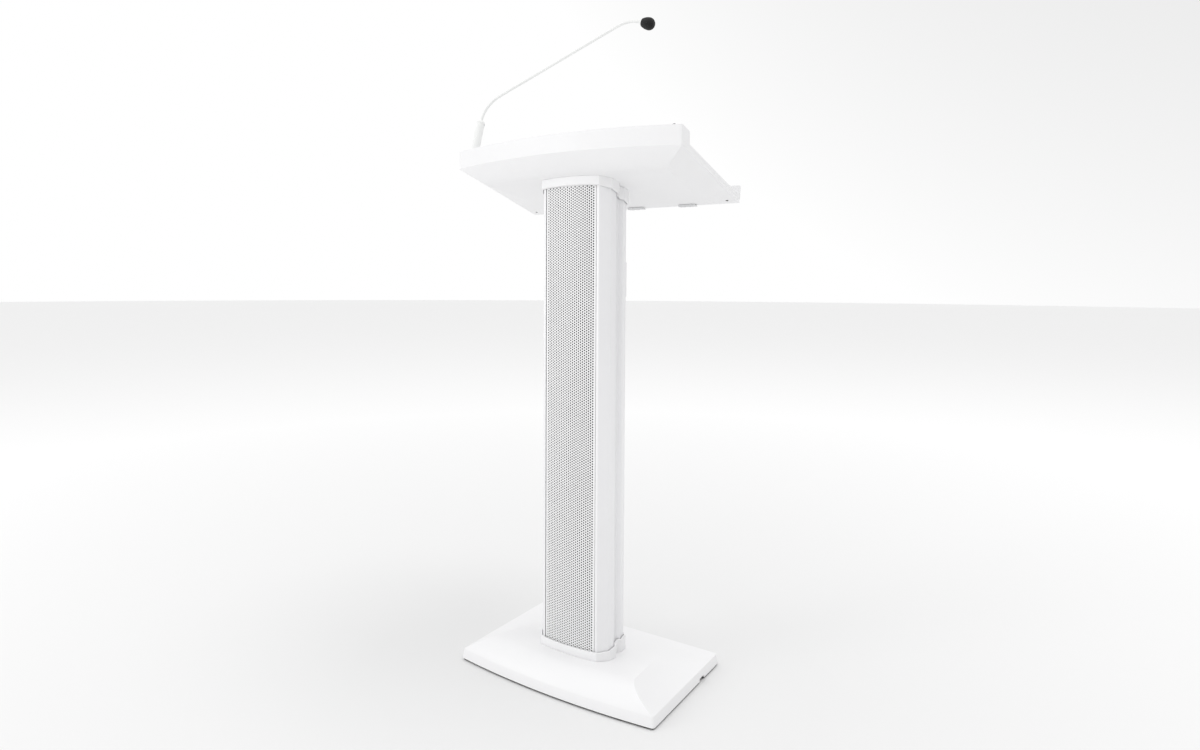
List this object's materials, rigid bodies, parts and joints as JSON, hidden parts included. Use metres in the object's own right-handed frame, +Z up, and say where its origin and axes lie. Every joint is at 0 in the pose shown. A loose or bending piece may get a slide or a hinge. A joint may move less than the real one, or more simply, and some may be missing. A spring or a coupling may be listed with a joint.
{
  "type": "lectern with line array speaker",
  "caption": "Active lectern: slim column loudspeaker on a weighted base carrying a sloping reading desk with a plug-in gooseneck microphone.",
  "frame": {"origin": "middle of the footprint, on the floor", "axes": "+Z up, -Y towards the audience, +Y towards the presenter, +X to the right seen from the audience"},
  "size_m": [0.5768, 0.3374, 1.4706],
  "materials": {
    "shell_white": "fine satin texture",
    "extrusion_white": "white powder coat",
    "grille_white": "white powder coat, perforated",
    "plate_black": "matt",
    "foot_rubber": "matt",
    "zinc_steel": "zinc plated",
    "bracket_steel": "plain sheet",
    "cloth_grey": "acoustic cloth",
    "baffle_board": "painted fibreboard",
    "basket_black": "satin",
    "magnet_ferrite": "bare",
    "cone_black": "matt",
    "surround_rubber": "satin",
    "board_green": "solder mask",
    "heatsink_alu": "plain",
    "winding": "enamelled wire under tape",
    "black_plastic": "satin",
    "lamp_green": "translucent",
    "clip_white": "satin",
    "socket_white": "satin",
    "lead_black": "matt",
    "neck_white": "off-white paint",
    "pin_metal": "plated",
    "foam_grey": "open-cell foam"
  },
  "bodies": {
    "lectern": {"base_shell": "shell_white", "base_plate": "plate_black", "base_feet": "foot_rubber", "base_screws": "zinc_steel", "column_bolts": "zinc_steel", "base_bracket": "bracket_steel", "base_collar": "shell_white", "column_front": "extrusion_white", "column_rear": "extrusion_white", "speaker_grille": "grille_white", "grille_cloth": "cloth_grey", "driver_baffle": "baffle_board", "driver_baskets": "basket_black", "driver_magnets": "magnet_ferrite", "driver_cones": "cone_black", "driver_surrounds": "surround_rubber", "driver_screws": "zinc_steel", "top_collar": "shell_white", "top_bracket": "bracket_steel", "bracket_screws": "zinc_steel", "control_panel": "grille_white", "panel_screws": "black_plastic", "amp_board": "board_green", "amp_heatsink": "heatsink_alu", "power_transformer": "winding", "pot_bodies": "bracket_steel", "rocker_frame": "black_plastic", "power_lamp": "lamp_green", "audio_jacks": "black_plastic", "inlet_panel": "grille_white", "mains_inlet": "black_plastic", "desk_lower_shell": "shell_white", "desk_top_shell": "shell_white", "desk_screws": "black_plastic", "cable_clips": "clip_white", "xlr_socket_left": "socket_white", "xlr_socket_right": "socket_white", "xlr_insert_left": "black_plastic", "xlr_insert_right": "black_plastic", "internal_leads": "lead_black"},
    "knob_mic_1": {"knob_mic_1": "black_plastic"},
    "knob_mic_2": {"knob_mic_2": "black_plastic"},
    "knob_line": {"knob_line": "black_plastic"},
    "power_rocker": {"power_rocker": "black_plastic"},
    "release_tab_left": {"release_tab_left": "black_plastic"},
    "release_tab_right": {"release_tab_right": "black_plastic"},
    "mic_base": {"mic_plug": "neck_white", "mic_plug_pins": "pin_metal", "mic_grub_screws": "zinc_steel"},
    "neck_link_1": {"neck_link_1": "neck_white"},
    "neck_link_2": {"neck_link_2": "neck_white"},
    "neck_link_3": {"neck_link_3": "neck_white"},
    "neck_link_4": {"neck_link_4": "neck_white"},
    "neck_link_5": {"neck_link_5": "neck_white"},
    "mic_rod": {"mic_rod": "neck_white"},
    "neck_link_6": {"neck_link_6": "neck_white"},
    "neck_link_7": {"neck_link_7": "neck_white"},
    "neck_link_8": {"neck_link_8": "neck_white"},
    "mic_head": {"mic_capsule": "neck_white"},
    "mic_windscreen": {"mic_windscreen": "foam_grey"}
  },
  "joints": [
    {"name": "knob_mic_1_turn", "type": "hinge", "parent": "lectern", "child": "knob_mic_1", "pos_m": [0.044, 0.0385, 0.903], "axis": [0, -1, 0], "range_deg": [-140, 140]},
    {"name": "knob_mic_2_turn", "type": "hinge", "parent": "lectern", "child": "knob_mic_2", "pos_m": [0.016, 0.0385, 0.903], "axis": [0, -1, 0], "range_deg": [-140, 140]},
    {"name": "knob_line_turn", "type": "hinge", "parent": "lectern", "child": "knob_line", "pos_m": [-0.012, 0.0385, 0.903], "axis": [0, -1, 0], "range_deg": [-140, 140]},
    {"name": "power_switch", "type": "hinge", "parent": "lectern", "child": "power_rocker", "pos_m": [-0.044, 0.0345, 0.884], "axis": [-1, 0, 0], "range_deg": [0, 16]},
    {"name": "release_left_press", "type": "slide", "parent": "lectern", "child": "release_tab_left", "axis": [0, -0.2783, -0.9605], "range_m": [0, 0.002], "stiffness_N_per_m": 400, "springref_m": -0.002},
    {"name": "release_right_press", "type": "slide", "parent": "lectern", "child": "release_tab_right", "axis": [0, -0.2783, -0.9605], "range_m": [0, 0.002], "stiffness_N_per_m": 400, "springref_m": -0.002},
    {"name": "mic_unplug", "type": "slide", "parent": "lectern", "child": "mic_base", "axis": [0, 0.2783, 0.9605], "range_m": [0, 0.02]},
    {"name": "neck_base_bend_1", "type": "hinge", "parent": "mic_base", "child": "neck_link_1", "pos_m": [-0.251, -0.08613, 1.25703], "axis": [-0.2554, 0.9286, -0.269], "range_deg": [-25, 12]},
    {"name": "neck_base_sway_1", "type": "hinge", "parent": "neck_link_1", "child": "neck_link_2", "pos_m": [-0.24894, -0.08204, 1.2692], "axis": [0.9149, 0.1422, -0.3778], "range_deg": [-20, 20]},
    {"name": "neck_base_bend_2", "type": "hinge", "parent": "neck_link_2", "child": "neck_link_3", "pos_m": [-0.24488, -0.07758, 1.28072], "axis": [-0.2554, 0.9286, -0.269], "range_deg": [-25, 12]},
    {"name": "neck_base_sway_2", "type": "hinge", "parent": "neck_link_3", "child": "neck_link_4", "pos_m": [-0.23892, -0.07289, 1.29127], "axis": [0.7648, 0.0238, -0.6439], "range_deg": [-20, 20]},
    {"name": "neck_base_bend_3", "type": "hinge", "parent": "neck_link_4", "child": "neck_link_5", "pos_m": [-0.23123, -0.06807, 1.30059], "axis": [-0.2554, 0.9286, -0.269], "range_deg": [-25, 12]},
    {"name": "neck_base_sway_3", "type": "hinge", "parent": "neck_link_5", "child": "mic_rod", "pos_m": [-0.22202, -0.06327, 1.3084], "axis": [0.5325, -0.0971, -0.8408], "range_deg": [-20, 20]},
    {"name": "neck_tip_bend_1", "type": "hinge", "parent": "mic_rod", "child": "neck_link_6", "pos_m": [0.04105, 0.05345, 1.46152], "axis": [-0.2554, 0.9286, -0.269], "range_deg": [-25, 10]},
    {"name": "neck_tip_sway_1", "type": "hinge", "parent": "neck_link_6", "child": "neck_link_7", "pos_m": [0.05273, 0.05775, 1.46527], "axis": [0.1666, -0.2318, -0.9584], "range_deg": [-20, 20]},
    {"name": "neck_tip_bend_2", "type": "hinge", "parent": "neck_link_7", "child": "neck_link_8", "pos_m": [0.06512, 0.06151, 1.46651], "axis": [-0.2554, 0.9286, -0.269], "range_deg": [-25, 10]},
    {"name": "neck_tip_sway_2", "type": "hinge", "parent": "neck_link_8", "child": "mic_head", "pos_m": [0.07768, 0.06459, 1.46519], "axis": [-0.227, -0.3281, -0.917], "range_deg": [-20, 20]},
    {"name": "windscreen_pull", "type": "slide", "parent": "mic_head", "child": "mic_windscreen", "axis": [0.9398, 0.1732, -0.2946], "range_m": [0, 0.04]}
  ],
  "couplings": [
    {"joint": "neck_base_bend_2", "follows": "neck_base_bend_1", "ratio": 1},
    {"joint": "neck_base_bend_3", "follows": "neck_base_bend_1", "ratio": 1},
    {"joint": "neck_base_sway_2", "follows": "neck_base_sway_1", "ratio": 1},
    {"joint": "neck_base_sway_3", "follows": "neck_base_sway_1", "ratio": 1},
    {"joint": "neck_tip_bend_2", "follows": "neck_tip_bend_1", "ratio": 1},
    {"joint": "neck_tip_sway_2", "follows": "neck_tip_sway_1", "ratio": 1}
  ]
}
